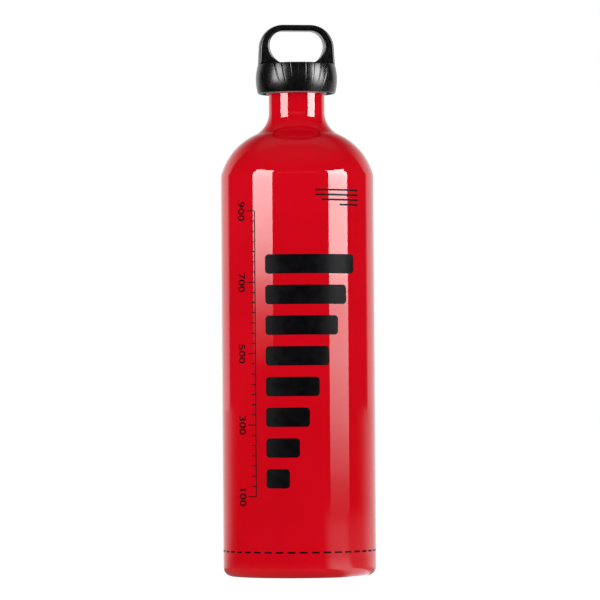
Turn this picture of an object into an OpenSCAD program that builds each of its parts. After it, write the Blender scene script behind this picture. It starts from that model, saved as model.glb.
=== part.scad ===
// Camping fuel bottle: an aluminium bottle with a push-and-turn cap that has a carry loop.
// +Z is up, and the origin is the middle of the ring that the bottle stands on. The loop lies along X.

/* [Bottle] */
// Diameter of the straight side
body_d = 76; // [60:0.5:90]
// Height at which the straight side ends
side_h = 197.8; // [100:0.2:260]
// Thickness of the side wall
wall_t = 1; // [0.7:0.05:1.6]
// Thickness of the floor
floor_t = 1.8; // [1:0.1:3]
// Radius between the side and the standing ring
base_corner_r = 4.5; // [3:0.1:8]
// Width of the flat standing ring
base_ring_w = 3.5; // [2:0.1:6]
// Height of the dish in the underside
base_dish_h = 4; // [2:0.5:8]
// Radius of the domed shoulder
shoulder_r = 30.9; // [26:0.1:36]
// Slope at which the dome leaves the side, in degrees
shoulder_slope = 14; // [8:0.5:20]
// Radius that blends the side into the dome
shoulder_blend_r = 6; // [2:0.5:10]

/* [Neck] */
// Outer diameter of the neck
neck_d = 27.7; // [24:0.1:32]
// Wall of the neck and the shoulder
neck_wall_t = 1.25; // [1:0.05:2]
// Radius of the hollow between the dome and the neck
neck_fillet_r = 12.5; // [8:0.1:16]
// Straight length of the neck, up to its lip
neck_len = 14.45; // [12:0.05:24]
// Bevel on both edges of the lip
lip_bevel = 0.4; // [0.2:0.05:0.6]

/* [Stopper and seal] */
// Thickness of the seal ring
seal_t = 1.6; // [1.2:0.1:2.4]
// Space between the bore and the plug that the two threads share
thread_space = 1.4; // [1:0.1:2]
// How far the plug reaches below the lip
plug_len = 11.5; // [8:0.5:16]
// Wall of the hollow plug
plug_wall_t = 2; // [1.2:0.1:3]
// Thickness of the stopper's flange
flange_t = 2; // [1.6:0.1:3]
// Wall of the collar that hangs around the neck
collar_t = 0.9; // [0.8:0.1:1.4]
// Gap between the collar and the neck
collar_gap = 0.3; // [0.25:0.05:0.6]
// How far the collar reaches below the barrel of the cap
collar_drop = 0.2; // [0:0.1:0.6]

/* [Push-and-turn clutch] */
// Teeth on each half of the clutch
tooth_count = 12; // [6:1:18]
// Height of a tooth
tooth_h = 1.45; // [1:0.05:2]
// Height that parts the two rings of teeth at rest
tooth_gap = 0.4; // [0.3:0.05:0.8]
// Share of the pitch that one tooth fills
tooth_share = 0.43; // [0.3:0.01:0.46]
// Radial width of the teeth
tooth_w = 3.8; // [2.5:0.1:4.2]

/* [Spring] */
// Thickness of the spring strip
spring_t = 0.4; // [0.2:0.05:0.6]
// Width of the spring strip
spring_w = 3; // [2:0.1:3.4]
// Waves around the spring
spring_waves = 3; // [3:1:5]

/* [Cap] */
// Diameter of the cap where it bulges most
cap_d = 40.5; // [40:0.1:44]
// Height of the cap's barrel
barrel_h = 14.5; // [13:0.1:17]
// Radius of the barrel's bulge, seen from the side
bulge_r = 25; // [22:1:60]
// Height of the widest place above the barrel's lower edge
bulge_h = 7.1; // [5:0.1:9]
// Thickness of the cap's top
cap_top_t = 2.2; // [1.6:0.1:3]
// Gap between the stopper's flange and the cap
flange_gap = 0.3; // [0.2:0.05:0.5]
// Radial thickness of the skirt at its lower edge
skirt_t = 2.1; // [1.6:0.1:2.4]
// Snap tabs that hold the stopper in the cap
tab_count = 4; // [3:1:6]
// Height of a snap tab
tab_h = 1.5; // [1:0.1:2]
// Radial reach of a snap tab
tab_reach = 1.2; // [0.6:0.1:1.3]

/* [Grip flutes] */
// Flutes on the front, and as many on the back
flute_count = 8; // [4:2:10]
// Angle between neighbouring flutes at the top of the barrel
flute_step = 12.4; // [10:0.2:14]
// Depth of a flute at the top of the barrel
flute_depth = 0.35; // [0.2:0.05:0.5]
// Radius of a flute's hollow
flute_r = 0.6; // [0.5:0.1:3]
// How far an outermost flute leans in towards the middle, in degrees
flute_lean = 20; // [0:1:24]

/* [Carry loop] */
// Width of the loop at its corners
loop_w = 37.5; // [34:0.1:38.2]
// Width of the loop where it meets the barrel
loop_base_w = 38.5; // [37:0.1:39]
// Height of the loop above the barrel
loop_h = 19.9; // [17:0.1:26]
// Thickness of the loop, front to back
loop_t = 8; // [6:0.1:10]
// Height of the bar across the top
bar_t = 3.2; // [2.6:0.1:4.2]
// Outer radius of the loop's corners
loop_corner_r = 12; // [9:0.5:14]
// Width of the finger opening
opening_w = 27.8; // [24:0.1:28.6]
// Radius of the opening's lower corners
opening_low_r = 9.5; // [7:0.1:10]
// Bevel along the loop's edges
loop_bevel = 0.8; // [0.4:0.1:1]

/* [Clearances] */
// Gap between pieces that rest on each other
touch = 0.05; // [0.03:0.01:0.1]

/* [Hidden] */
$fn = 96;
eps = 0.01;

// Bottle: the shoulder's three arcs touch each other and the straight sides
body_r = body_d / 2;
neck_r = neck_d / 2;
bore_r = neck_r - neck_wall_t;
dome_x = body_r - shoulder_r * cos(shoulder_slope);
blend_x = body_r - shoulder_blend_r;
dome_z = side_h - sqrt(pow(shoulder_r - shoulder_blend_r, 2) - pow(blend_x - dome_x, 2));
fillet_x = neck_r + neck_fillet_r;
fillet_z = dome_z + sqrt(pow(shoulder_r + neck_fillet_r, 2) - pow(fillet_x - dome_x, 2));
blend_angle = atan2(side_h - dome_z, blend_x - dome_x);
dome_angle = atan2(fillet_z - dome_z, fillet_x - dome_x);
lip_z = fillet_z + neck_len;

// The same arcs inside, one wall further in
body_in_r = body_r - wall_t;
dome_in_r = shoulder_r - neck_wall_t;
blend_in_r = shoulder_blend_r - wall_t;
blend_in_x = body_in_r - blend_in_r;
blend_in_z = dome_z + sqrt(pow(dome_in_r - blend_in_r, 2) - pow(blend_in_x - dome_x, 2));
blend_in_angle = atan2(blend_in_z - dome_z, blend_in_x - dome_x);

// The underside's dish is part of a large sphere, and the floor follows it
dish_r = body_r - base_corner_r - base_ring_w;
dish_ball_r = (pow(dish_r, 2) + pow(base_dish_h, 2)) / (2 * base_dish_h);
dish_ball_z = base_dish_h - dish_ball_r;
floor_corner_r = base_corner_r - wall_t;
floor_ball_r = dish_ball_r + floor_t;
floor_angle = asin((floor_t - dish_ball_z) / floor_ball_r);

// Heights in the cap, from the lip upwards
flange_z = lip_z + seal_t + 2 * touch;
flange_top_z = flange_z + flange_t;
cap_under_z = flange_top_z + 2 * tooth_h + tooth_gap;
cap_top_z = cap_under_z + cap_top_t;
barrel_z = cap_top_z - barrel_h;

// Radii in the cap, from the bulge inwards
bulge_x = cap_d / 2 - bulge_r;
skirt_in_r = bulge_x + sqrt(pow(bulge_r, 2) - pow(bulge_h, 2)) - skirt_t;
flange_r = skirt_in_r - flange_gap;
plug_r = bore_r - thread_space;
collar_in_r = neck_r + collar_gap;
collar_z = barrel_z - collar_drop;
seal_in_r = bore_r - seal_t / 2;
stem_r = seal_in_r - touch;
tooth_out_r = flange_r - 0.9;
tooth_in_r = tooth_out_r - tooth_w;
tooth_turn = 360 / tooth_count;
boss_h = tooth_h - 0.25;
spring_out_r = tooth_in_r - 0.9;
spring_in_r = spring_out_r - spring_w;
boss_r = spring_in_r - 0.4;
tab_turn = 24;

// Loop
loop_top_z = cap_top_z + loop_h;
opening_low_z = cap_top_z + opening_low_r;
opening_high_r = loop_h - bar_t - opening_low_r;
loop_half_w = loop_w / 2;
opening_half_w = opening_w / 2;
corner_x = loop_half_w - loop_corner_r;
corner_z = loop_top_z - loop_corner_r;

// Points along an arc from one angle to another
function arc(x, y, r, from, to, steps) =
    [for (i = [0:steps]) let (a = from + (to - from) * i / steps) [x + r * cos(a), y + r * sin(a)]];

// The bottle's section: up the outside, over the lip, and down the inside
module bottle_section() {
    outside = concat(
        arc(0, dish_ball_z, dish_ball_r, 90, acos(dish_r / dish_ball_r), 6),
        arc(body_r - base_corner_r, base_corner_r, base_corner_r, -90, 0, 8),
        arc(blend_x, side_h, shoulder_blend_r, 0, blend_angle, 4),
        arc(dome_x, dome_z, shoulder_r, blend_angle + 3, dome_angle, 15),
        arc(fillet_x, fillet_z, neck_fillet_r, 174 + dome_angle, 180, 12)
    );
    inside = concat(
        arc(fillet_x, fillet_z, neck_fillet_r + neck_wall_t, 180, 174 + dome_angle, 12),
        arc(dome_x, dome_z, dome_in_r, dome_angle, blend_in_angle + 3, 15),
        arc(blend_in_x, blend_in_z, blend_in_r, blend_in_angle, 0, 4),
        arc(body_in_r - floor_corner_r, floor_t + floor_corner_r, floor_corner_r, 0, -90, 8),
        arc(0, dish_ball_z, floor_ball_r, floor_angle, 90, 6)
    );
    lip = [
        [neck_r, lip_z - lip_bevel],
        [neck_r - lip_bevel, lip_z],
        [bore_r + lip_bevel, lip_z],
        [bore_r, lip_z - lip_bevel]
    ];
    polygon(concat(outside, lip, inside));
}

module bottle() {
    color("crimson") rotate_extrude() bottle_section();
}

// Round seal between the lip and the stopper's flange
module seal_ring() {
    color("dimgray")
        translate([0, 0, lip_z + touch + seal_t / 2])
            rotate_extrude()
                translate([seal_in_r + seal_t / 2, 0]) circle(d = seal_t, $fn = 32);
}

// One ring of clutch teeth, standing up from z = 0
module clutch_teeth(height) {
    turn = tooth_turn * tooth_share;
    for (i = [0:tooth_count - 1])
        rotate([0, 0, i * tooth_turn - turn / 2])
            rotate_extrude(angle = turn)
                translate([tooth_in_r, 0]) square([tooth_w, height]);
}

// Stopper: a flange with a hollow plug that screws into the neck, and a collar around it
module stopper_section() {
    plug_z = lip_z - plug_len;
    stem_z = lip_z - 0.6;
    polygon([
        [plug_r - plug_wall_t, plug_z],
        [plug_r - 0.5, plug_z],
        [plug_r, plug_z + 0.5],
        [plug_r, stem_z - (stem_r - plug_r)],
        [stem_r, stem_z],
        [stem_r, flange_z],
        [collar_in_r, flange_z],
        [collar_in_r, collar_z],
        [collar_in_r + collar_t, collar_z],
        [collar_in_r + collar_t, flange_z],
        [flange_r, flange_z],
        [flange_r, flange_top_z - 0.4],
        [flange_r - 0.4, flange_top_z],
        [boss_r, flange_top_z],
        [boss_r, flange_top_z + boss_h],
        [0, flange_top_z + boss_h],
        [0, flange_z + 0.2],
        [plug_r - plug_wall_t - 0.6, flange_z + 0.2],
        [plug_r - plug_wall_t, flange_z - 0.4]
    ]);
}

module stopper() {
    color("#959390") {
        rotate_extrude() stopper_section();
        translate([0, 0, flange_top_z - eps]) clutch_teeth(tooth_h + eps);
    }
}

// Wave spring: a flat ring bent up and down, which lifts the cap off the stopper's teeth
module wave_spring() {
    steps = 24 * spring_waves;
    low_z = flange_top_z + touch;
    high_z = cap_under_z - touch;
    swing = (high_z - low_z - spring_t) / 2;
    function rise(i) = (low_z + high_z - spring_t) / 2 + swing * cos(spring_waves * 360 * i / steps);
    points = [
        for (i = [0:steps - 1], corner = [[0, 0], [1, 0], [1, 1], [0, 1]])
            let (r = spring_in_r + spring_w * corner[0], a = 360 * i / steps)
                [r * cos(a), r * sin(a), rise(i) + spring_t * corner[1]]
    ];
    faces = [
        for (i = [0:steps - 1], k = [0:3])
            let (here = 4 * i, next = 4 * ((i + 1) % steps), up = (k + 1) % 4)
                each [[here + k, next + k, next + up], [here + k, next + up, here + up]]
    ];
    color("silver") polyhedron(points, faces);
}

// Outline of the loop, drawn smaller by the given inset
module loop_outline(inset) {
    base_x = loop_base_w / 2 - inset;
    r = loop_corner_r - inset;
    polygon(concat(
        [[-base_x, cap_top_z - eps], [base_x, cap_top_z - eps]],
        arc(corner_x, corner_z, r, 0, 90, 16),
        arc(-corner_x, corner_z, r, 90, 180, 16)
    ));
}

// Outline of the finger opening, drawn larger by the given flare
module opening_outline(flare) {
    low_r = opening_low_r + flare;
    high_r = opening_high_r + flare;
    low_x = opening_half_w - opening_low_r;
    high_x = opening_half_w - opening_high_r;
    intersection() {
        polygon(concat(
            arc(-low_x, opening_low_z, low_r, 180, 270, 16),
            arc(low_x, opening_low_z, low_r, 270, 360, 16),
            arc(high_x, opening_low_z, high_r, 0, 90, 16),
            arc(-high_x, opening_low_z, high_r, 90, 180, 16)
        ));
        translate([-loop_w, cap_top_z]) square([2 * loop_w, loop_h]);
    }
}

// Stands a flat outline up in the plane of the loop, centred front to back
module standing(thickness) {
    rotate([90, 0, 0]) linear_extrude(height = thickness, center = true) children();
}

module carry_loop() {
    difference() {
        hull() {
            standing(loop_t) loop_outline(loop_bevel);
            standing(loop_t - 2 * loop_bevel) loop_outline(0);
        }
        standing(loop_t + 1) opening_outline(0);
        for (side = [-1, 1])
            hull() {
                translate([0, side * (loop_t / 2 - loop_bevel), 0]) standing(eps) opening_outline(0);
                translate([0, side * loop_t / 2, 0]) standing(eps) opening_outline(loop_bevel);
            }
    }
}

// One hollow that fades out down the barrel, at the given angle from the middle of the front
module flute(angle) {
    top_r = bulge_x + sqrt(pow(bulge_r, 2) - pow(barrel_h - bulge_h, 2));
    fade_h = 2.5;
    tilt = atan2(cap_d / 2 - top_r + flute_depth, barrel_h - fade_h);
    lean = flute_lean * angle / (flute_step * (flute_count - 1) / 2);
    rotate([0, 0, angle - 90])
        translate([top_r - flute_depth + flute_r, 0, cap_top_z])
            rotate([lean, -tilt, 0])
                cylinder(r = flute_r, h = 3 * barrel_h, center = true);
}

// Skirt, top, snap tabs and clutch teeth of the cap, without its loop
module cap_barrel() {
    difference() {
        translate([0, 0, barrel_z])
            rotate_extrude()
                intersection() {
                    translate([bulge_x, bulge_h]) circle(r = bulge_r, $fn = 360);
                    square([cap_d, barrel_h]);
                }
        translate([0, 0, barrel_z - 1])
            cylinder(r = skirt_in_r, h = cap_under_z - barrel_z + 1);
        translate([0, 0, barrel_z - eps])
            cylinder(r1 = skirt_in_r + 0.5, r2 = skirt_in_r, h = 0.5);
        for (back = [0, 180], i = [0:flute_count - 1])
            rotate([0, 0, back]) flute((i - (flute_count - 1) / 2) * flute_step);
    }
    translate([0, 0, cap_under_z - tooth_h])
        rotate([0, 0, tooth_turn / 2]) clutch_teeth(tooth_h + eps);
    for (i = [0:tab_count - 1])
        rotate([0, 0, (i + 0.5) * 360 / tab_count - tab_turn / 2])
            rotate_extrude(angle = tab_turn)
                polygon([
                    [skirt_in_r + eps, flange_z - touch],
                    [skirt_in_r - tab_reach, flange_z - touch],
                    [skirt_in_r - tab_reach, flange_z - touch - 0.5],
                    [skirt_in_r + eps, flange_z - touch - tab_h]
                ]);
}

module cap_shell() {
    color("#1c1b1d") {
        cap_barrel();
        carry_loop();
    }
}

bottle();
seal_ring();
stopper();
wave_spring();
cap_shell();
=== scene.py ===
"""Looks of the camping fuel bottle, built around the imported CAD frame.

Sizes are in millimetres, as in the CAD source. Those of the stage (camera, lights and floor) are in metres.
"""

import math

import bmesh
import bpy
import numpy as np
from mathutils import Matrix, Vector


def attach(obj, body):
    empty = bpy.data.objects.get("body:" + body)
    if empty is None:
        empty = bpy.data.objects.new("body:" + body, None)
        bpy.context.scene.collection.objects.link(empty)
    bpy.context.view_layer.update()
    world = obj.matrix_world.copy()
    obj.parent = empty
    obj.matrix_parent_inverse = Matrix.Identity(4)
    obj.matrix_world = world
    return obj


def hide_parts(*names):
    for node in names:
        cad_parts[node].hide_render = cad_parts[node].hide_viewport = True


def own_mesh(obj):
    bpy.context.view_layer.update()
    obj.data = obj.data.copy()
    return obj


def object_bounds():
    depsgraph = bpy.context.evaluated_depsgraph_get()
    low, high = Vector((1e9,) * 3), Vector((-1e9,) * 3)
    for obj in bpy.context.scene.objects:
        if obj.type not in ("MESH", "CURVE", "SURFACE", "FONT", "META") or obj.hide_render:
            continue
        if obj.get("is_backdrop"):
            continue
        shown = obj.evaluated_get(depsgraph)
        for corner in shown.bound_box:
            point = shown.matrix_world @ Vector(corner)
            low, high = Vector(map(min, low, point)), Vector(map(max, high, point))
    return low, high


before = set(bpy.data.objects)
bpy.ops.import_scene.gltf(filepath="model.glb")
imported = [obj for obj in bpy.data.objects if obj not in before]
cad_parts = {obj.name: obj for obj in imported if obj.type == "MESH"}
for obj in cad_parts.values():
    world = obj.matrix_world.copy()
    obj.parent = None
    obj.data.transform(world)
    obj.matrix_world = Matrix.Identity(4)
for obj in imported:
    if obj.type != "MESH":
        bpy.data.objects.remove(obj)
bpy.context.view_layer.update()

MM = 0.001
ON_AXIS = 1e-9
SHARP_ANGLE = 38

# Bottle, with the sizes of the CAD source
BODY_R = 38.0
SIDE_H = 197.8
WALL = 1.0
FLOOR = 1.8
CORNER_R = 4.5
DISH_R = 30.0
DISH_H = 4.0
DISH_EDGE = 0.7
DOME_R = 30.9
DOME_SLOPE = 14.0
BLEND_R = 6.0
NECK_R = 13.85
NECK_WALL = 1.25
FILLET_R = 12.5
NECK_LEN = 14.45
LIP_R = 0.4
NECK_THREAD_Z = (233.2, 243.1)
NECK_THREAD_CREST = 11.75

# The coat lies a little inside the CAD's surface, so that the print on it doesn't stand out of the CAD's outline
COAT_INSET = 0.04
INSET_TOP = 228
INSET_FADE = 22
INK_OUT = BODY_R - 0.012
INK_IN = BODY_R - 0.056

# Print: arc lengths are from the middle of the view, positive to the right
BARS = 8
BAR_LEFT = -16.5
BAR_LOW = 44
BAR_H = 9.5
BAR_STEP = 15
BAR_SHORTEST = 12
BAR_GROWTH = 5
BAR_CORNER = 1.8
SCALE_LEFT = -22.6
SCALE_RIGHT = -22.0
SCALE_LOW = 40
SCALE_HIGH = 180
TICKS = 29
TICK_STEP = 5
TICK_RIGHT = -22.3
TICK_LEN = 2.2
LONG_TICK_LEN = 4.6
LONG_TICK_EVERY = 7
TICK_HALF = 0.25
NUMBERS = ("100", "300", "500", "700", "900")
NUMBERS_AT = -31.2
NUMBER_SIZE = 6.5
RULE_WIDTHS = (25, 25, 22, 12)
RULE_RIGHT = 34
RULE_LOW = 189.5
RULE_HIGH = 190.4
RULE_STEP = 2.4
DASHES = 40
DASH_LEN = 3.9
DASH_LOW = 12.2
DASH_HIGH = 13.1

# Cap, from the lip upwards
PITCH = 3.5
PLUG_R = 11.2
PLUG_THREAD_Z = (234.3, 242.4)
PLUG_THREAD_CREST = 12.4
BORE_R = NECK_R - NECK_WALL
SEAL_T = 1.6
FLANGE_T = 2.0
FLANGE_GAP = 0.3
TEETH_INSET = 0.9
SPRING_GAP = 0.9
TOUCH = 0.05
TOOTH_H = 1.45
TOOTH_GAP = 0.4
TOOTH_SHARE = 0.43
TOOTH_W = 3.8
TEETH = 12
CAP_R = 20.25
BARREL_H = 14.5
BULGE_R = 25.0
BULGE_H = 7.1
CAP_TOP = 2.2
SKIRT_T = 2.1
SPRING_T = 0.4
SPRING_W = 3.0
WAVES = 3

# Grip flutes. The photograph barely shows the four in the middle of each side, so they are shallower.
FLUTES = 8
FLUTE_STEP = 12.4
FLUTE_DEPTH = 0.35
FLUTE_R = 0.6
FLUTE_LEAN = 20.0
FLUTE_FADE = 2.5
FLUTE_SOFT = 0.035
INNER_SHARE = 0.3
TOP_FILLET = 0.6
LOW_FILLET = 0.45

# Carry loop. INNER_EDGE is how far the rounding of its inner edge reaches into the face.
LOOP_HALF = 18.75
LOOP_BASE = 19.25
LOOP_H = 19.9
LOOP_T = 8.0
BAR_T = 3.2
LOOP_CORNER = 12.0
OPEN_HALF = 13.9
OPEN_LOW_R = 9.5
EDGE_R = 0.7
INNER_EDGE = 1.4
CROWN = 0.5

# Where the photograph was taken from, and how its bottle leans
CAM_AZ = math.radians(-9.0)
CAM_DIST = 2.04
CAM_H = 0.087
CAM_TILT = math.radians(1.4)
CAM_ROLL = math.radians(0.405)
CAM_SIDE = 0.00101
CAM_LENS = 246.1

# Lights, by their angle from the camera's direction, positive to the right. MIRROR_LEVEL is for reflections alone,
# and PLAIN_LEVEL for the rest of the light.
MIRROR_LEVEL = 16.3
PLAIN_LEVEL = 6.15
PLAIN_HIGH = 0.68
CARD_DISTANCE = 1.0
LEFT_ANGLE = -53.3
LEFT_WIDTH = 0.577
LEFT_SPAN = (0.1, 0.82)
RIGHT_ANGLE = 63.5
RIGHT_WIDTH = 0.585
RIGHT_SPAN = (0.005, 0.77)

# Backdrop and floor, as seen in reflections (DARK, STRIP_LEVEL, OVERHEAD) and by the camera (SEEN)
DARK = 0.02
STRIP_LEVEL = 0.2
OVERHEAD = 0.075
SEEN = 0.905
FLOOR_HALF = 30.0
GROUND = -0.00005


def arc(x, z, r, start, end, steps):
    """Points on an arc, from one angle to another in degrees."""
    a = np.radians(np.linspace(start, end, steps + 1))
    return np.stack([x + r * np.cos(a), z + r * np.sin(a)], 1)


def line(p, q, steps):
    """Points strictly between p and q."""
    t = np.linspace(0, 1, steps + 2)[1:-1, None]
    return np.array(p) * (1 - t) + np.array(q) * t


def grid(rows, cols, wrap_rows=False):
    """Quads over a grid of points that are stored row by row. Each row closes on itself."""
    i = np.arange(rows if wrap_rows else rows - 1)[:, None]
    j = np.arange(cols)[None, :]
    right, below = (j + 1) % cols, (i + 1) % rows
    quads = [i * cols + j, i * cols + right, below * cols + right, below * cols + j]
    return np.stack(quads, -1).reshape(-1, 4)


def lathe(profile, angles, shift=None):
    """A skin around +Z from (r, z) points.

    An end on the axis closes in a fan, and otherwise the profile is a closed loop. shift gives how far each point
    moves in towards the axis.
    """
    profile = np.array(profile, float)
    axis = profile[:, 0] < ON_AXIS
    rings = profile[~axis]
    r = np.repeat(rings[:, :1], len(angles), 1)
    z = np.repeat(rings[:, 1:], len(angles), 1)
    if shift is not None:
        r = r - shift(r, z, angles, rings)
    points = np.stack([r * np.cos(angles), r * np.sin(angles), z], -1).reshape(-1, 3)
    n, rows = len(angles), len(rings)
    faces = grid(rows, n, wrap_rows=not axis.any()).tolist()
    j = np.arange(n)
    for at, ring, flip in ((0, 0, True), (-1, rows - 1, False)):
        if axis[at]:
            points = np.vstack([points, [0, 0, profile[at, 1]]])
            a, b = ring * n + j, ring * n + (j + 1) % n
            if flip:
                a, b = b, a
            faces += np.stack([np.full(n, len(points) - 1), a, b], 1).tolist()
    return points, faces


def sweep(rows):
    """A closed skin from a row of equal closed cross-sections, with a cap on each end."""
    rows = np.array(rows, float)
    k, m = rows.shape[:2]
    faces = grid(k, m).tolist()
    faces.append(list(range(m))[::-1])
    faces.append([(k - 1) * m + j for j in range(m)])
    return rows.reshape(-1, 3), faces


def sector(profile, start, end, steps):
    """Part of a turned solid, from a closed (r, z) profile and two angles in degrees."""
    profile = np.array(profile, float)
    rows = []
    for a in np.radians(np.linspace(start, end, steps + 1)):
        rows.append(np.stack([profile[:, 0] * math.cos(a), profile[:, 0] * math.sin(a), profile[:, 1]], 1))
    return sweep(rows)


def outward(points, faces):
    """The faces, all turned the other way if their shell is inside out."""
    volume = 0.0
    for f in faces:
        a = points[f[0]]
        for p, q in zip(f[1:-1], f[2:]):
            volume += float(np.dot(a, np.cross(points[p], points[q])))
    return faces if volume > 0 else [f[::-1] for f in faces]


def piece(name, shells, body, materials, replaced=None, face_material=None):
    """One object from closed shells of points in millimetres, riding on a body."""
    points, faces, count = [], [], 0
    for p, f in shells:
        faces += [[i + count for i in face] for face in outward(p, f)]
        points.append(p)
        count += len(p)
    mesh = bpy.data.meshes.new(name)
    mesh.from_pydata((np.vstack(points) * MM).tolist(), [], faces)
    mesh.polygons.foreach_set("use_smooth", np.ones(len(mesh.polygons), bool))
    mesh.set_sharp_from_angle(angle=math.radians(SHARP_ANGLE))
    for m in materials:
        mesh.materials.append(m)
    if face_material is not None:
        mesh.polygons.foreach_set("material_index", np.array(face_material, np.int32))
    obj = bpy.data.objects.new(name, mesh)
    bpy.context.scene.collection.objects.link(obj)
    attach(obj, body)
    if replaced:
        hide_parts(replaced)
    return obj


class Nodes:
    """Short calls for making a node tree."""

    def __init__(self, tree):
        self.tree = tree
        tree.nodes.clear()

    def add(self, kind, settings=None, **inputs):
        node = self.tree.nodes.new(kind)
        for key, value in (settings or {}).items():
            setattr(node, key, value)
        for key, value in inputs.items():
            self.put(node, key.replace("_", " "), value)
        return node

    def put(self, node, key, value):
        """Sets or links an input, by its name or as i and its number."""
        socket = node.inputs[int(key[1:])] if key[0] == "i" and key[1:].isdigit() else node.inputs[key]
        if isinstance(value, bpy.types.NodeSocket):
            self.tree.links.new(value, socket)
        else:
            socket.default_value = value

    def math(self, operation, a, b=0.0):
        return self.add("ShaderNodeMath", {"operation": operation}, i0=a, i1=b).outputs[0]

    def vector(self, operation, output, **inputs):
        return self.add("ShaderNodeVectorMath", {"operation": operation}, **inputs).outputs[output]

    def ramp(self, value, low, high, to_low=0.0, to_high=1.0, smooth=True):
        settings = {"interpolation_type": "SMOOTHSTEP" if smooth else "LINEAR"}
        node = self.add("ShaderNodeMapRange", settings, i0=value, i1=low, i2=high, i3=to_low, i4=to_high)
        return node.outputs[0]

    def levels(self, value, stops):
        """A value read off straight lines between (place, level) stops, all from 0 to 1."""
        node = self.add("ShaderNodeValToRGB", None, Fac=value)
        points = node.color_ramp.elements
        points[0].position, points[1].position = stops[0][0], stops[-1][0]
        for point, (place, level) in zip(points, (stops[0], stops[-1])):
            point.color = (level, level, level, 1)
        for place, level in stops[1:-1]:
            points.new(place).color = (level, level, level, 1)
        return node.outputs[0]

    def noise(self, vector, scale, detail=2.0, roughness=0.5):
        return self.add(
            "ShaderNodeTexNoise", None, Vector=vector, Scale=scale, Detail=detail, Roughness=roughness
        ).outputs[0]

    def stretch(self, vector, x, y, z):
        return self.add("ShaderNodeMapping", None, Vector=vector, Scale=(x, y, z)).outputs[0]

    def mix(self, factor, a, b):
        node = self.add("ShaderNodeMix", {"data_type": "RGBA"})
        for socket, value in ((0, factor), (6, a), (7, b)):
            if isinstance(value, bpy.types.NodeSocket):
                self.tree.links.new(value, node.inputs[socket])
            else:
                node.inputs[socket].default_value = value
        return node.outputs[2]

    def bump(self, height, distance, normal=None):
        node = self.add("ShaderNodeBump", None, Height=height, Distance=distance, Strength=1.0)
        if normal is not None:
            self.tree.links.new(normal, node.inputs["Normal"])
        return node.outputs[0]


def principled(name, **inputs):
    """A material with one Principled shader, its Nodes, and the shader node."""
    mat = bpy.data.materials.new(name)
    mat.use_nodes = True
    n = Nodes(mat.node_tree)
    shader = n.add("ShaderNodeBsdfPrincipled", None, **inputs)
    out = n.add("ShaderNodeOutputMaterial")
    mat.node_tree.links.new(shader.outputs[0], out.inputs[0])
    place = n.add("ShaderNodeTexCoord").outputs["Object"]
    return mat, n, shader, place


def red_coat():
    """Glossy baked enamel over drawn aluminium, with a trace of orange peel, draw lines and small scuffs."""
    mat, n, shader, place = principled(
        "red_coat", Roughness=0.3, IOR=1.5, Specular_IOR_Level=0.0,
        Coat_Weight=1.0, Coat_Roughness=0.03, Coat_IOR=1.52,
    )
    cloud = n.noise(place, 18.0, 3.0)
    red = n.mix(n.ramp(cloud, 0.35, 0.65), (0.605, 0.0014, 0.0080, 1), (0.645, 0.0022, 0.0105, 1))
    speck = n.noise(place, 900.0, 1.0)
    red = n.mix(n.ramp(speck, 0.76, 0.80, 0.0, 0.35), red, (0.45, 0.002, 0.008, 1))
    n.put(shader, "Base Color", red)
    lines = n.noise(n.stretch(place, 12.0, 12.0, 2600.0), 1.0, 3.0, 0.6)
    patch = n.ramp(n.noise(n.stretch(place, 9.0, 9.0, 16.0), 1.0, 2.0), 0.42, 0.68, 0.15, 1.0)
    peel = n.noise(place, 420.0, 2.0)
    normal = n.bump(n.math("MULTIPLY", lines, patch), 0.0000016)
    normal = n.bump(peel, 0.0000035, normal)
    n.put(shader, "Normal", normal)
    n.put(shader, "Coat Normal", normal)
    return mat


def bare_metal(name, color, rough, scale):
    """Turned or drawn metal: fine lines around the axis."""
    mat, n, shader, place = principled(name, Metallic=1.0, IOR=1.5)
    lines = n.noise(n.stretch(place, 30.0, 30.0, scale), 1.0, 4.0, 0.6)
    cloud = n.noise(place, 60.0, 3.0)
    dark = tuple(c * 0.82 for c in color)
    n.put(shader, "Base Color", n.mix(n.ramp(cloud, 0.3, 0.7), (*dark, 1), (*color, 1)))
    n.put(shader, "Roughness", n.ramp(lines, 0.3, 0.7, rough * 0.8, rough * 1.25))
    n.put(shader, "Normal", n.bump(lines, 0.000006))
    return mat


def black_ink():
    """Screen-printed ink, far less glossy than the coat."""
    mat, n, shader, place = principled("black_ink", IOR=1.45, Specular_IOR_Level=0.06)
    cloud = n.noise(place, 260.0, 3.0)
    ink_tone = n.mix(n.ramp(cloud, 0.3, 0.7), (0.002, 0.0018, 0.0022, 1), (0.0036, 0.003, 0.004, 1))
    n.put(shader, "Base Color", ink_tone)
    n.put(shader, "Roughness", n.ramp(cloud, 0.3, 0.7, 0.3, 0.4))
    n.put(shader, "Normal", n.bump(n.noise(place, 1500.0, 2.0), 0.0000015))
    return mat


def moulded(name, dark, light, rough, grain, height, **inputs):
    """Moulded plastic with a fine mould texture and faint rubbed patches."""
    mat, n, shader, place = principled(name, IOR=1.5, **inputs)
    cloud = n.noise(place, 110.0, 4.0, 0.6)
    n.put(shader, "Base Color", n.mix(n.ramp(cloud, 0.35, 0.65), (*dark, 1), (*light, 1)))
    rub = n.noise(place, 420.0, 3.0, 0.65)
    n.put(shader, "Roughness", n.ramp(rub, 0.3, 0.75, rough, rough * 1.4))
    normal = n.bump(n.noise(place, grain, 2.0), height)
    n.put(shader, "Normal", n.bump(n.noise(place, grain * 0.18, 2.0), height * 3, normal))
    return mat


# Bottle: the arcs of its outline, which meet without a kink

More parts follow.
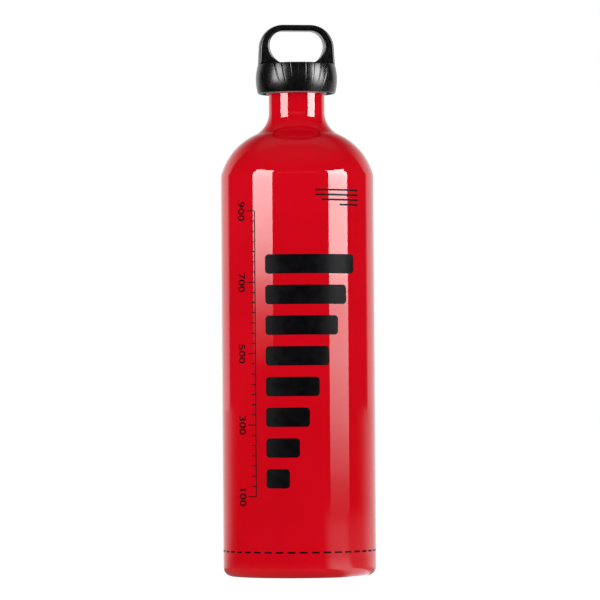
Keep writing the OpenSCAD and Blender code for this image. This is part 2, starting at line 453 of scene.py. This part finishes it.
dome_x = BODY_R - DOME_R * math.cos(math.radians(DOME_SLOPE))
blend_x = BODY_R - BLEND_R
dome_z = SIDE_H - math.sqrt((DOME_R - BLEND_R) ** 2 - (blend_x - dome_x) ** 2)
fillet_x = NECK_R + FILLET_R
fillet_z = dome_z + math.sqrt((DOME_R + FILLET_R) ** 2 - (fillet_x - dome_x) ** 2)
blend_angle = math.degrees(math.atan2(SIDE_H - dome_z, blend_x - dome_x))
dome_angle = math.degrees(math.atan2(fillet_z - dome_z, fillet_x - dome_x))
lip_z = fillet_z + NECK_LEN


def bottle_profile():
    """The outside from the middle of the base up to the lip and the inside back down.

    The second value is how many of the points are outside.
    """
    ball_r = (DISH_R ** 2 + DISH_H ** 2) / (2 * DISH_H)
    ball_z = DISH_H - ball_r
    rim = math.degrees(math.acos((DISH_R - DISH_EDGE) / ball_r))
    dish = arc(0, ball_z, ball_r, 90, rim, 14)
    t = np.linspace(0, 1, 6)[1:-1, None]
    bend, end = np.array([DISH_R, 0]), np.array([DISH_R + DISH_EDGE, 0])
    edge = (1 - t) ** 2 * dish[-1] + 2 * t * (1 - t) * bend + t ** 2 * end
    outside = [
        dish,
        edge,
        [[DISH_R + DISH_EDGE, 0], [DISH_R + 2.0, 0], [BODY_R - CORNER_R - 0.2, 0]],
        arc(BODY_R - CORNER_R, CORNER_R, CORNER_R, -90, 0, 20),
        [[BODY_R, CORNER_R + 0.5]],
        line((BODY_R, 7), (BODY_R, SIDE_H - 3), 16),
        [[BODY_R, SIDE_H - 0.5]],
        arc(blend_x, SIDE_H, BLEND_R, 0, blend_angle, 9),
        arc(dome_x, dome_z, DOME_R, blend_angle, dome_angle, 44)[1:],
        arc(fillet_x, fillet_z, FILLET_R, 180 + dome_angle, 180, 26)[1:],
        line((NECK_R, fillet_z), (NECK_R, lip_z - LIP_R), 6),
        arc(NECK_R - LIP_R, lip_z - LIP_R, LIP_R, 0, 60, 4),
    ]
    outside = np.vstack(outside)
    inset = COAT_INSET * np.clip((INSET_TOP - outside[:, 1]) / INSET_FADE, 0, 1)
    outside[:, 0] -= inset * (outside[:, 0] > BODY_R - CORNER_R)
    inner_r = BODY_R - WALL
    in_blend_r = BLEND_R - WALL
    in_dome_r = DOME_R - NECK_WALL
    in_x = inner_r - in_blend_r
    in_z = dome_z + math.sqrt((in_dome_r - in_blend_r) ** 2 - (in_x - dome_x) ** 2)
    in_angle = math.degrees(math.atan2(in_z - dome_z, in_x - dome_x))
    floor_r = CORNER_R - WALL
    floor_ball = ball_r + FLOOR
    floor_angle = math.degrees(math.asin((FLOOR - ball_z) / floor_ball))
    inside = [
        arc(NECK_R - LIP_R, lip_z - LIP_R, LIP_R, 70, 90, 2),
        arc(BORE_R + LIP_R, lip_z - LIP_R, LIP_R, 90, 180, 6),
        line((BORE_R, lip_z - LIP_R), (BORE_R, fillet_z), 5),
        arc(fillet_x, fillet_z, FILLET_R + NECK_WALL, 180, 180 + dome_angle, 20),
        arc(dome_x, dome_z, in_dome_r, dome_angle, in_angle, 30)[1:],
        arc(in_x, in_z, in_blend_r, in_angle, 0, 6)[1:],
        line((inner_r, in_z), (inner_r, FLOOR + floor_r), 6),
        arc(inner_r - floor_r, FLOOR + floor_r, floor_r, 0, -90, 10),
        arc(0, ball_z, floor_ball, floor_angle, 90, 12),
    ]
    return np.vstack([outside, *inside]), len(outside)


COLUMNS = 288
turn = np.radians(np.arange(COLUMNS) * 360 / COLUMNS)
coat = red_coat()
metal = bare_metal("bare_aluminium", (0.78, 0.78, 0.79), 0.34, 1500.0)
profile, outside_rings = bottle_profile()
points, faces = lathe(profile, turn)
last_ring = int((profile[:, 0] >= ON_AXIS).sum()) - 1
slots = np.repeat(np.where(np.arange(last_ring) < outside_rings - 2, 0, 1), COLUMNS)
slots = np.concatenate([slots, np.zeros(COLUMNS), np.ones(COLUMNS)])
piece("bottle_shell", [(points, faces)], "bottle", [coat, metal], "bottle", slots)


def helix(root_r, crest_r, low, high, half_root, half_crest, start):
    """A right-hand thread ridge that rises and fades at its ends. Its root and crest are given by half widths."""
    turns = (high - low) / PITCH
    steps = int(turns * 90)
    rows = []
    for i in range(steps + 1):
        a = start + math.radians(turns * 360 * i / steps)
        z = low + PITCH * turns * i / steps
        fade = min(1.0, (i + 1) / 10, (steps - i + 1) / 10)
        fade = fade * fade * (3 - 2 * fade)
        top = root_r + (crest_r - root_r) * fade
        shape = [
            (root_r, -half_root),
            (top - 0.12 * (top - root_r), -half_crest - 0.06),
            (top, -half_crest + 0.08),
            (top, half_crest - 0.08),
            (top - 0.12 * (top - root_r), half_crest + 0.06),
            (root_r, half_root),
        ]
        rows.append([(r * math.cos(a), r * math.sin(a), z + dz) for r, dz in shape])
    return sweep(rows)


neck_ridge = helix(BORE_R + 0.06, NECK_THREAD_CREST, *NECK_THREAD_Z, 0.8, 0.3, 0.0)
piece("neck_thread", [neck_ridge], "bottle", [metal])

# Generic print: level bars, a scale with plain numbers, four short rules and a broken line around the base

ink_shells = []


def ink(s_values, low, high):
    """A film of ink over the straight side, which spans low to high at each arc length."""
    rows = []
    for s, a, b in zip(s_values, low, high):
        t = CAM_AZ + s / BODY_R
        x, y = math.sin(t), -math.cos(t)
        rows.append([(r * x, r * y, z) for r, z in ((INK_OUT, a), (INK_OUT, b), (INK_IN, b), (INK_IN, a))])
    ink_shells.append(sweep(rows))


def ink_bar(left, right, low, high, round_r=0.0):
    """A bar of ink. round_r rounds its corners."""
    edge = [0.0, 0.08, 0.3, 0.65, 1.0] if round_r else [0.0]
    count = max(2, int(right - left))
    s = [left + round_r * e for e in edge[:-1]]
    s += list(np.linspace(left + round_r, right - round_r, count))
    s += [right - round_r * e for e in edge[:-1]][::-1]
    s = np.array(s)
    inset = np.clip(np.maximum(left + round_r - s, s - right + round_r), 0, round_r)
    cut = round_r - np.sqrt(np.maximum(round_r ** 2 - inset ** 2, 0))
    ink(s, low + cut + 0.001, high - cut - 0.001)


for i in range(BARS):
    low = BAR_LOW + BAR_STEP * i
    ink_bar(BAR_LEFT, BAR_LEFT + BAR_SHORTEST + BAR_GROWTH * i, low, low + BAR_H, BAR_CORNER)

ink_bar(SCALE_LEFT, SCALE_RIGHT, SCALE_LOW, SCALE_HIGH)
for i in range(TICKS):
    z = SCALE_LOW + TICK_STEP * i
    size = TICK_LEN if i % LONG_TICK_EVERY else LONG_TICK_LEN
    ink_bar(SCALE_LEFT - size, TICK_RIGHT, z - TICK_HALF, z + TICK_HALF)

for i, width in enumerate(RULE_WIDTHS):
    ink_bar(RULE_RIGHT - width, RULE_RIGHT, RULE_LOW - RULE_STEP * i, RULE_HIGH - RULE_STEP * i)

for i in range(DASHES):
    s = i * 2 * math.pi * BODY_R / DASHES
    ink_bar(s, s + DASH_LEN, DASH_LOW, DASH_HIGH)


def ink_number(word, s, z, size):
    """Plain digits as a film of ink, centred on (s, z) and read downwards.

    They are cut across every half millimetre, so that they follow the curve of the side.
    """
    curve = bpy.data.curves.new("digits", "FONT")
    curve.body = word
    curve.size = size
    curve.extrude = 0.5
    curve.offset = 0.1
    curve.align_x = "CENTER"
    curve.align_y = "CENTER"
    curve.resolution_u = 4
    holder = bpy.data.objects.new("digits", curve)
    bpy.context.scene.collection.objects.link(holder)
    bpy.context.view_layer.update()
    mesh = bpy.data.meshes.new_from_object(holder)
    cutter = bmesh.new()
    cutter.from_mesh(mesh)
    for height in np.arange(-3.0, 3.01, 0.5):
        geom = [*cutter.verts, *cutter.edges, *cutter.faces]
        bmesh.ops.bisect_plane(cutter, geom=geom, plane_co=(0, float(height), 0), plane_no=(0, 1, 0))
    cutter.to_mesh(mesh)
    cutter.free()
    flat = np.array([v.co for v in mesh.vertices], float).reshape(-1, 3)
    digit_faces = [list(p.vertices) for p in mesh.polygons]
    bpy.data.objects.remove(holder)
    bpy.data.meshes.remove(mesh)
    bpy.data.curves.remove(curve)
    t = CAM_AZ + (s + flat[:, 1]) / BODY_R
    r = np.where(flat[:, 2] > 0, INK_OUT, INK_IN)
    ink_shells.append((np.stack([r * np.sin(t), -r * np.cos(t), z - flat[:, 0]], 1), digit_faces))


for i, word in enumerate(NUMBERS):
    ink_number(word, NUMBERS_AT, SCALE_LOW + LONG_TICK_EVERY * TICK_STEP * i, NUMBER_SIZE)

piece("print_marks", ink_shells, "bottle", [black_ink()])

# Seal and stopper keep the shapes of the CAD

seal_top = lip_z + SEAL_T + 2 * TOUCH
flange_top = seal_top + FLANGE_T
under_z = flange_top + 2 * TOOTH_H + TOOTH_GAP
top_z = under_z + CAP_TOP
barrel_z = top_z - BARREL_H

rubber = moulded("seal_rubber", (0.02, 0.02, 0.02), (0.032, 0.032, 0.033), 0.45, 2600.0, 0.000004)
stopper_grey = moulded("stopper_grey", (0.27, 0.262, 0.255), (0.33, 0.32, 0.31), 0.3, 3200.0, 0.000003)
for node, mat in (("seal_ring", rubber), ("stopper", stopper_grey)):
    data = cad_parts[node].data
    data.materials.clear()
    data.materials.append(mat)

plug_ridge = helix(PLUG_R - 0.06, PLUG_THREAD_CREST, *PLUG_THREAD_Z, 0.8, 0.32, math.radians(180))
piece("plug_thread", [plug_ridge], "stopper", [stopper_grey])

# Wave spring

bulge_x = CAP_R - BULGE_R
bulge_z = barrel_z + BULGE_H
skirt_in = bulge_x + math.sqrt(BULGE_R ** 2 - BULGE_H ** 2) - SKIRT_T
tooth_out = skirt_in - FLANGE_GAP - TEETH_INSET
tooth_in = tooth_out - TOOTH_W
spring_out = tooth_in - SPRING_GAP
spring_in = spring_out - SPRING_W
spring_low = flange_top + TOUCH
spring_high = under_z - TOUCH


def spring_ring(steps=216):
    """A flat strip bent up and down around the axis, with rounded edges."""
    rows = []
    swing = (spring_high - spring_low - SPRING_T) / 2
    e = 0.12
    shape = [(0, e), (e * 0.3, e * 0.3), (e, 0)]
    shape += [(SPRING_W - w, h) for w, h in shape[::-1]]
    shape += [(w, SPRING_T - h) for w, h in shape[::-1]]
    for i in range(steps):
        a = 2 * math.pi * i / steps
        z = spring_low + swing * (1 + math.cos(WAVES * a))
        rows += [((spring_in + w) * math.cos(a), (spring_in + w) * math.sin(a), z + h) for w, h in shape]
    return np.array(rows), grid(steps, len(shape), wrap_rows=True).tolist()


spring_steel = bare_metal("spring_steel", (0.62, 0.62, 0.63), 0.26, 900.0)
spring = piece("spring_strip", [spring_ring()], "spring", [spring_steel], "wave_spring")
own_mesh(spring)

# Cap


def flute_cut(r, z, angles, rings):
    """How deep the flutes cut at each point of the barrel. They lean in to the middle and fade out downwards."""
    drop = np.clip(top_z - z, 0, None)
    depth = FLUTE_DEPTH * (1 - drop / (BARREL_H - FLUTE_FADE))
    front = (np.degrees(angles) + 90 + 180) % 360 - 180
    back = (front + 360) % 360 - 180
    cut = np.full(r.shape, -1.0)
    for from_middle in (front, back):
        for i in np.arange(FLUTES) - (FLUTES - 1) / 2:
            share = INNER_SHARE if abs(i) < 2 else 1.0
            lean = math.radians(FLUTE_LEAN * i / ((FLUTES - 1) / 2))
            s = np.radians(from_middle)[None, :] * r - math.radians(i * FLUTE_STEP) * r + drop * math.tan(lean)
            hollow = depth * share - (FLUTE_R - np.sqrt(np.maximum(FLUTE_R ** 2 - s ** 2, 0)))
            cut = np.maximum(cut, hollow)
    soft = 0.5 * (cut + np.sqrt(cut ** 2 + FLUTE_SOFT ** 2)) - 0.0006
    outer = (rings[:, 0] > 17.9) & (rings[:, 1] > barrel_z + 1.0)
    return np.where(outer[:, None], np.maximum(soft, 0), 0)


def cap_profile():
    """The cap's section: over the top, down the bulged outside, round the lower edge and up the inside.

    The skirt's lower edge is thin and opens into its full thickness inside, because the photograph shows a dark
    hollow there.
    """
    high_z = top_z - TOP_FILLET
    high_x = bulge_x + math.sqrt((BULGE_R - TOP_FILLET) ** 2 - (high_z - bulge_z) ** 2)
    high_a = math.degrees(math.atan2(high_z - bulge_z, high_x - bulge_x))
    low_z = barrel_z + LOW_FILLET
    low_x = bulge_x + math.sqrt((BULGE_R - LOW_FILLET) ** 2 - (low_z - bulge_z) ** 2)
    low_a = math.degrees(math.atan2(low_z - bulge_z, low_x - bulge_x))
    inner_r = 0.3
    return np.vstack([
        [[0, top_z], [6, top_z], [12, top_z], [16.8, top_z], [high_x - 0.12, top_z]],
        arc(high_x, high_z, TOP_FILLET, 90, high_a, 7),
        arc(bulge_x, bulge_z, BULGE_R, high_a, low_a, 56)[1:-1],
        arc(low_x, low_z, LOW_FILLET, low_a, -90, 7),
        [[low_x - 0.08, barrel_z], [low_x - 0.2, barrel_z + 0.05], [low_x - 0.28, barrel_z + 0.2]],
        [[low_x - 0.5, barrel_z + 2.4], [low_x - 0.62, barrel_z + 2.6], [skirt_in + 0.3, barrel_z + 3.2]],
        [[skirt_in + 0.08, barrel_z + 3.35], [skirt_in, barrel_z + 3.6]],
        [[skirt_in, barrel_z + 5], [skirt_in, under_z - 1.0]],
        arc(skirt_in - inner_r, under_z - inner_r, inner_r, 0, 90, 4),
        [[skirt_in - 1, under_z], [9, under_z], [0, under_z]],
    ])


# The barrel's columns lie close together over the flutes of front and back, and further apart between them
fine = np.arange(-47, 47.01, 0.25)
coarse = np.arange(48.2, 132, 1.4)
degrees = np.concatenate([fine, coarse, fine + 180, coarse + 180])
black = moulded("cap_black", (0.0016, 0.0014, 0.0018), (0.0030, 0.0026, 0.0033), 0.21, 2400.0, 0.0000009)
piece("cap_barrel", [lathe(cap_profile(), np.radians(degrees - 90), flute_cut)], "cap", [black],
      "cap_shell")

teeth = []
for i in range(TEETH):
    centre = (i + 0.5) * 360 / TEETH
    half = 180 / TEETH * TOOTH_SHARE
    c = 0.18
    z0, z1 = under_z - TOOTH_H, under_z + 0.3
    teeth.append(sector([(tooth_in, z0 + c), (tooth_in + c, z0), (tooth_out - c, z0), (tooth_out, z0 + c),
                         (tooth_out, z1), (tooth_in, z1)], centre - half, centre + half, 8))
piece("cap_teeth", teeth, "cap", [black])

tabs = []
for i in range(4):
    centre = (i + 0.5) * 90
    z = seal_top - TOUCH
    tab = [(skirt_in + 0.3, z), (skirt_in - 1.05, z), (skirt_in - 1.2, z - 0.15), (skirt_in - 1.2, z - 0.5),
           (skirt_in + 0.3, z - 1.75)]
    tabs.append(sector(tab, centre - 12, centre + 12, 12))
piece("snap_tabs", tabs, "cap", [black])


def around(outline, centre, angles):
    """A closed outline resampled at polar angles round a centre, and its outward normals there."""
    d = outline - centre
    a = np.unwrap(np.arctan2(d[:, 1], d[:, 0]))
    tangent = np.roll(outline, -1, 0) - np.roll(outline, 1, 0)
    normal = np.stack([tangent[:, 1], -tangent[:, 0]], 1)
    normal /= np.linalg.norm(normal, axis=1)[:, None]
    order = np.argsort(a % (2 * math.pi))
    a = (a % (2 * math.pi))[order]

    def wrap(v):
        return np.concatenate([v[order][-1:], v[order], v[order][:1]])

    key = np.concatenate([a[-1:] - 2 * math.pi, a, a[:1] + 2 * math.pi])
    radius = np.interp(angles, key, wrap(np.linalg.norm(d, axis=1)))
    n = np.stack([np.interp(angles, key, wrap(normal[:, k])) for k in (0, 1)], 1)
    n /= np.linalg.norm(n, axis=1)[:, None]
    return centre + np.stack([radius * np.cos(angles), radius * np.sin(angles)], 1), n


def loop_mesh():
    """The carry loop as a ring round its opening. Its lower part lies inside the cap's top."""
    sink = top_z - 0.9
    corner_z = top_z + LOOP_H - LOOP_CORNER
    corner_x = LOOP_HALF - LOOP_CORNER
    outer = np.vstack([
        line((-LOOP_BASE, sink), (LOOP_BASE, sink), 60),
        line((LOOP_BASE, sink), (LOOP_BASE, top_z), 6),
        line((LOOP_BASE, top_z), (LOOP_HALF, corner_z), 60),
        arc(corner_x, corner_z, LOOP_CORNER, 0, 90, 120),
        line((corner_x, corner_z + LOOP_CORNER), (-corner_x, corner_z + LOOP_CORNER), 60),
        arc(-corner_x, corner_z, LOOP_CORNER, 90, 180, 120),
        line((-LOOP_HALF, corner_z), (-LOOP_BASE, top_z), 60),
        line((-LOOP_BASE, top_z), (-LOOP_BASE, sink), 6),
    ])
    high_r = LOOP_H - BAR_T - OPEN_LOW_R
    low_x = OPEN_HALF - OPEN_LOW_R
    high_x = OPEN_HALF - high_r
    mid_z = top_z + OPEN_LOW_R
    inner = np.vstack([
        line((-low_x, mid_z - OPEN_LOW_R), (low_x, mid_z - OPEN_LOW_R), 40),
        arc(low_x, mid_z, OPEN_LOW_R, -90, 0, 120),
        arc(high_x, mid_z, high_r, 0, 90, 120)[1:],
        line((high_x, mid_z + high_r), (-high_x, mid_z + high_r), 60),
        arc(-high_x, mid_z, high_r, 90, 180, 120),
        arc(-low_x, mid_z, OPEN_LOW_R, 180, 270, 120)[1:],
    ])
    inner[:, 1] -= 0.06 * np.clip((top_z + 1.5 - inner[:, 1]) / 1.5, 0, 1)
    centre = np.array([0.0, mid_z - 1.0])
    angles = np.radians(np.arange(360) + 0.5)
    inside, inside_n = around(inner, centre, angles)
    outside, outside_n = around(outer, centre, angles)
    half = LOOP_T / 2
    bends = np.radians(np.linspace(0, 90, 10))
    flare = [EDGE_R * (1 - math.cos(a)) for a in bends]
    wide = [INNER_EDGE * (1 - math.cos(a)) for a in bends]
    lift = [half - EDGE_R + EDGE_R * math.sin(a) for a in bends]
    extra = EDGE_R + 0.12
    ring = []
    for f, y in zip(wide, lift):
        ring.append((inside + inside_n * f, y))
    ring.append((inside + inside_n * (INNER_EDGE + 0.12), half))
    ring.append((outside - outside_n * (extra + CROWN), half))
    for f, y in zip(flare[::-1], lift[::-1]):
        ring.append((outside - outside_n * (f + CROWN * (y / half) ** 2), y))
    for y in np.linspace(half - EDGE_R - 0.12, -half + EDGE_R + 0.12, 13):
        ring.append((outside - outside_n * (CROWN * (y / half) ** 2), y))
    for f, y in zip(flare, lift):
        ring.append((outside - outside_n * (f + CROWN * (y / half) ** 2), -y))
    ring.append((outside - outside_n * (extra + CROWN), -half))
    ring.append((inside + inside_n * (INNER_EDGE + 0.12), -half))
    for f, y in zip(wide[::-1], lift[::-1]):
        ring.append((inside + inside_n * f, -y))
    ring.append((inside, -half + EDGE_R + 0.12))
    ring.append((inside, half - EDGE_R - 0.12))
    pts = np.stack([np.stack([p[:, 0], np.full(len(p), y), p[:, 1]], 1) for p, y in ring])
    reach = np.sqrt((19.2 + 0.12 * np.clip(pts[..., 2] - top_z, 0, 9)) ** 2 - pts[..., 1] ** 2)
    pts[..., 0] = np.clip(pts[..., 0], -reach, reach)
    return pts.reshape(-1, 3), grid(len(ring), len(angles), wrap_rows=True).tolist()


piece("carry_loop", [loop_mesh()], "cap", [black])

# Stage, in metres: two softboxes, the floor, and the backdrop in the world

to_camera = Vector((math.sin(CAM_AZ), -math.cos(CAM_AZ), 0))
to_right = Vector((math.cos(CAM_AZ), math.sin(CAM_AZ), 0))


def staged_plane(name, corners, mat):
    """A flat quad that isn't part of the object."""
    mesh = bpy.data.meshes.new(name)
    mesh.from_pydata([tuple(c) for c in corners], [], [(0, 1, 2, 3)])
    mesh.materials.append(mat)
    obj = bpy.data.objects.new(name, mesh)
    bpy.context.scene.collection.objects.link(obj)
    obj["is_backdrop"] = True
    return obj


# Share of MIRROR_LEVEL by height, fitted so that the highlights fade downwards as in the photograph
LEFT_STOPS = (
    (0.11, 0.0), (0.125, 0.02), (0.137, 0.043), (0.149, 0.065), (0.161, 0.13), (0.171, 0.165), (0.179, 0.28),
    (0.19, 0.34), (0.203, 0.44), (0.22, 0.53), (0.244, 0.63), (0.25, 0.67), (0.257, 0.88), (0.29, 0.76),
)
RIGHT_STOPS = (
    (0.01, 0.025), (0.026, 0.04), (0.035, 0.07), (0.057, 0.13), (0.075, 0.19), (0.1, 0.24), (0.117, 0.29),
    (0.15, 0.31), (0.161, 0.37), (0.173, 0.49), (0.179, 0.55), (0.191, 0.59), (0.215, 0.62), (0.244, 0.68),
    (0.25, 0.81), (0.257, 1.0),
)


def emitter(name, level, stops):
    """A light-giving material. stops are (height, share of the level) points, and without them it is even."""
    mat = bpy.data.materials.new(name)
    mat.use_nodes = True
    n = Nodes(mat.node_tree)
    strength = level
    if stops:
        place = n.add("ShaderNodeTexCoord").outputs["Object"]
        height = n.add("ShaderNodeSeparateXYZ", None, Vector=place).outputs[2]
        strength = n.math("MULTIPLY", n.levels(height, stops), level)
    glow = n.add("ShaderNodeEmission", None, Color=(1, 1, 1, 1), Strength=strength)
    n.tree.links.new(glow.outputs[0], n.add("ShaderNodeOutputMaterial").inputs[0])
    return mat


def softbox(name, angle, width, span, stops):
    """An upright light card, made twice.

    One card spans the given heights and is seen in reflections alone. The other gives plain light alone, and
    reaches down to the floor.
    """
    a = CAM_AZ + math.radians(angle)
    out = Vector((math.sin(a), -math.cos(a), 0))
    side = Vector((math.cos(a), math.sin(a), 0)) * width / 2
    centre = out * CARD_DISTANCE
    for part, level, (foot, head), shares in (
        ("mirror", MIRROR_LEVEL, span, stops),
        ("plain", PLAIN_LEVEL, (0.0, PLAIN_HIGH), None),
    ):
        corners = [centre - side + Vector((0, 0, foot)), centre + side + Vector((0, 0, foot)),
                   centre + side + Vector((0, 0, head)), centre - side + Vector((0, 0, head))]
        card = staged_plane(name + "_" + part, corners, emitter(name + "_" + part, level, shares))
        card.visible_camera = False
        card.visible_shadow = False
        card.visible_diffuse = part == "plain"
        card.visible_glossy = part == "mirror"


softbox("softbox_left", LEFT_ANGLE, LEFT_WIDTH, LEFT_SPAN, LEFT_STOPS)
softbox("softbox_right", RIGHT_ANGLE, RIGHT_WIDTH, RIGHT_SPAN, RIGHT_STOPS)


def floor_material():
    """White to the camera with the object's shadow kept.

    In reflections it is light behind the bottle and dark in front of it. behind and right are the cosines of a
    place's direction from the bottle, and reach is its distance.
    """
    mat = bpy.data.materials.new("floor")
    mat.use_nodes = True
    n = Nodes(mat.node_tree)
    place = n.add("ShaderNodeTexCoord").outputs["Object"]
    path = n.add("ShaderNodeLightPath")
    way = n.vector("NORMALIZE", 0, i0=place)
    behind = n.vector("DOT_PRODUCT", "Value", i0=way, i1=tuple(-to_camera))
    right = n.vector("DOT_PRODUCT", "Value", i0=way, i1=tuple(to_right))
    reach = n.vector("LENGTH", "Value", i0=place)
    leaned = n.math("ADD", behind, n.math("MULTIPLY", right, 0.09))
    glossy = n.levels(leaned, (
        (0.15, DARK), (0.32, 0.08), (0.4, 0.16), (0.48, 0.3),
        (0.55, 0.45), (0.65, 0.62), (0.74, 0.78), (0.9, 1.0),
    ))
    # Painted pool of light: in reflections the floor glows brighter to the right of the bottle and near its base,
    # where the right softbox would light it
    side = n.math("MULTIPLY", n.ramp(right, 0.6, 0.85, 0.0, 0.26), n.ramp(reach, 1.5, 0.5))
    glossy = n.math("ADD", n.math("ADD", glossy, side), n.ramp(reach, 0.25, 0.05, 0.0, 0.18))
    glossy = n.math("MINIMUM", glossy, 1.0)
    lit = n.math("MULTIPLY", n.ramp(right, 0.55, 0.75), n.ramp(behind, -0.15, -0.35))
    glow_near = n.math("ADD", n.ramp(reach, 1.6, 0.6, 0.0, 0.5), n.ramp(reach, 0.35, 0.15))
    glossy = n.math("ADD", glossy, n.math("MULTIPLY", lit, glow_near))
    seen = n.math("MULTIPLY", path.outputs["Is Camera Ray"], SEEN)
    plain = n.math("MULTIPLY", path.outputs["Is Diffuse Ray"], 0.35)
    mirror = n.math("MULTIPLY", path.outputs["Is Glossy Ray"], glossy)
    strength = n.math("ADD", n.math("ADD", seen, plain), mirror)
    glow = n.add("ShaderNodeEmission", None, Color=(1, 1, 1, 1), Strength=strength)
    grey = n.add("ShaderNodeBsdfDiffuse", None, Color=(0.32, 0.32, 0.32, 1))
    black_out = n.add("ShaderNodeBsdfDiffuse", None, Color=(0, 0, 0, 1))
    matt = n.add("ShaderNodeMixShader", None, Fac=path.outputs["Is Glossy Ray"])
    n.tree.links.new(grey.outputs[0], matt.inputs[1])
    n.tree.links.new(black_out.outputs[0], matt.inputs[2])
    total = n.add("ShaderNodeAddShader")
    n.tree.links.new(glow.outputs[0], total.inputs[0])
    n.tree.links.new(matt.outputs[0], total.inputs[1])
    n.tree.links.new(total.outputs[0], n.add("ShaderNodeOutputMaterial").inputs[0])
    return mat


floor_corners = [(x * FLOOR_HALF, y * FLOOR_HALF, GROUND) for x, y in ((-1, -1), (1, -1), (1, 1), (-1, 1))]
staged_plane("floor", floor_corners, floor_material())


def make_world():
    """White to the camera, a white backdrop behind the bottle for reflections, and dim elsewhere."""
    world = bpy.data.worlds.new("studio")
    bpy.context.scene.world = world
    world.use_nodes = True
    n = Nodes(world.node_tree)
    way = n.add("ShaderNodeTexCoord").outputs["Generated"]
    flat = n.vector("NORMALIZE", 0, i0=n.vector("MULTIPLY", 0, i0=way, i1=(1, 1, 0)))
    behind = n.vector("DOT_PRODUCT", "Value", i0=flat, i1=tuple(-to_camera))
    height = n.add("ShaderNodeSeparateXYZ", None, Vector=way).outputs[2]
    backdrop = n.math("MULTIPLY", n.ramp(behind, 0.56, 0.68), n.ramp(height, 0.72, 0.12))
    path = n.add("ShaderNodeLightPath")
    front = n.ramp(behind, -0.78, -0.84)
    strip = n.math("MULTIPLY", n.ramp(height, 0.17, 0.21), n.ramp(height, 0.37, 0.31))
    glossy = n.ramp(backdrop, 0, 1, DARK, 1.0, smooth=False)
    glossy = n.math("ADD", glossy, n.math("MULTIPLY", n.math("MULTIPLY", front, strip), STRIP_LEVEL))
    glossy = n.math("ADD", glossy, n.ramp(height, 0.6, 0.95, 0.0, OVERHEAD))
    high_behind = n.math("MULTIPLY", n.ramp(behind, 0.0, 0.6, 0.0, 0.1), n.ramp(height, 0.7, 0.9))
    glossy = n.math("ADD", glossy, high_behind)
    plain = n.ramp(backdrop, 0, 1, 0.30, 1.0, smooth=False)
    seen = path.outputs["Is Camera Ray"]
    in_mirror = n.math("MULTIPLY", path.outputs["Is Glossy Ray"], n.math("SUBTRACT", glossy, plain))
    level = n.math("ADD", in_mirror, plain)
    level = n.math("ADD", n.math("MULTIPLY", seen, n.math("SUBTRACT", 1.0, level)), level)
    back = n.add("ShaderNodeBackground", None, Color=(1, 1, 1, 1), Strength=level)
    n.tree.links.new(back.outputs[0], n.add("ShaderNodeOutputWorld").inputs[0])


make_world()


def make_camera():
    """The photograph's camera, rolled by the lean of its bottle."""
    data = bpy.data.cameras.new("camera")
    data.lens = CAM_LENS
    data.sensor_width = 36.0
    data.clip_start = 0.05
    data.clip_end = 100.0
    cam = bpy.data.objects.new("camera", data)
    bpy.context.scene.collection.objects.link(cam)
    ahead = -to_camera * math.cos(CAM_TILT) + Vector((0, 0, math.sin(CAM_TILT)))
    up = to_right.cross(ahead)
    turned = Matrix.Rotation(CAM_ROLL, 3, ahead)
    right, up = turned @ to_right, turned @ up
    spin = Matrix((right, up, -ahead)).transposed()
    place = to_camera * CAM_DIST + to_right * CAM_SIDE + Vector((0, 0, CAM_H))
    cam.matrix_world = Matrix.Translation(place) @ spin.to_4x4()
    bpy.context.scene.camera = cam


make_camera()
bpy.context.scene.view_settings.view_transform = "Standard"

low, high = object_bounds()
